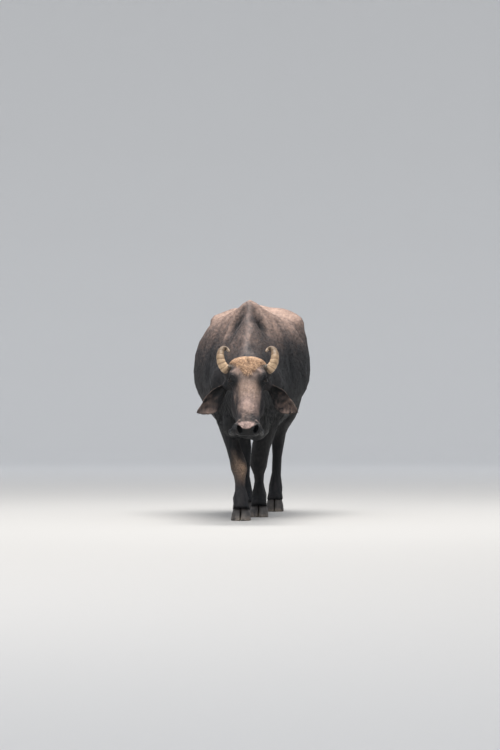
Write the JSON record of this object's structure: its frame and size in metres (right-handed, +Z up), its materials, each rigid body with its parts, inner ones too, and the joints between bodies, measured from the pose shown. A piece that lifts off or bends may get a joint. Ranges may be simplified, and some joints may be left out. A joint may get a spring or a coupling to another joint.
{
  "type": "water buffalo figure",
  "caption": "Life-size standing water buffalo in mid-stride with its head held low, curled ringed horns and drooping ears.",
  "frame": {"origin": "on the ground under the middle of the animal's bounding box", "axes": "+Z up; the animal faces -Y, so +Y runs along the body to the rump; +X is the animal's left"},
  "size_m": [0.7236, 2.236, 1.3284],
  "materials": {
    "hide": "dark charcoal-brown hide with short sparse hair, dusty tan on the back",
    "horn": "pale tan ridged horn",
    "hoof": "dull near-black hoof horn",
    "eye": "wet near-black eye",
    "tail_hair": "coarse black-brown switch of hair"
  },
  "bodies": {
    "root": {"ear_left": "hide", "ear_right": "hide", "eye_left": "eye", "eye_right": "eye", "fore_left_claw_left": "hoof", "fore_left_claw_right": "hoof", "fore_left_dewclaw_a": "hoof", "fore_left_dewclaw_b": "hoof", "fore_right_claw_left": "hoof", "fore_right_claw_right": "hoof", "fore_right_dewclaw_a": "hoof", "fore_right_dewclaw_b": "hoof", "foreleg_left": "hide", "foreleg_right": "hide", "head": "hide", "hind_left_claw_left": "hoof", "hind_left_claw_right": "hoof", "hind_left_dewclaw_a": "hoof", "hind_left_dewclaw_b": "hoof", "hind_right_claw_left": "hoof", "hind_right_claw_right": "hoof", "hind_right_dewclaw_a": "hoof", "hind_right_dewclaw_b": "hoof", "hindleg_left": "hide", "hindleg_right": "hide", "horn_left": "horn", "horn_right": "horn", "neck": "hide", "tail": "hide", "tail_switch": "tail_hair", "torso": "hide"}
  },
  "joints": []
}
